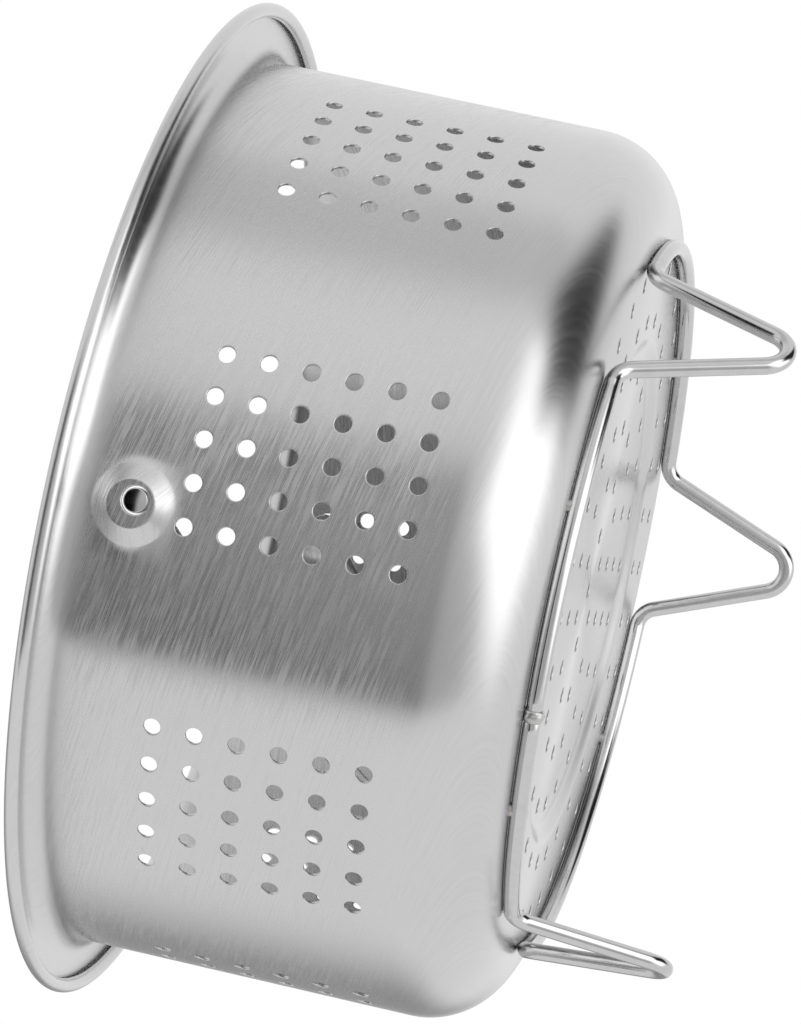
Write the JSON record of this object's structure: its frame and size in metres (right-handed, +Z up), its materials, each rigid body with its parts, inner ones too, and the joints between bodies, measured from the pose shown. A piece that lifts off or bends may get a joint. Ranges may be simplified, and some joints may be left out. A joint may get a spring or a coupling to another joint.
{
  "type": "steamer basket",
  "caption": "Perforated round steel bowl with a wide flange, three wire legs and a folding bail handle; it hangs in a pot or stands on its legs.",
  "frame": {"origin": "centre of the floor under the legs, on the bowl's axis, with the basket upright", "axes": "+Z up through the open mouth; +X through one boss of the bail's pivot; the folded bail leans towards -Y"},
  "size_m": [0.2188, 0.2188, 0.1302],
  "materials": {
    "sheet_steel": "satin brushed stainless sheet, scratches running round the wall",
    "wire_steel": "polished stainless wire",
    "weld_steel": "ground resistance weld"
  },
  "bodies": {
    "basket": {"basket_bowl": "sheet_steel", "leg_stand": "wire_steel", "stand_butt_weld": "weld_steel", "stand_spot_welds": "weld_steel"},
    "bail": {"bail_handle": "wire_steel"}
  },
  "joints": [
    {"name": "bail_hinge", "type": "hinge", "parent": "basket", "child": "bail", "pos_m": [0, 0, 0.11425], "axis": [-1, 0, 0], "range_deg": [-8, 280]}
  ]
}
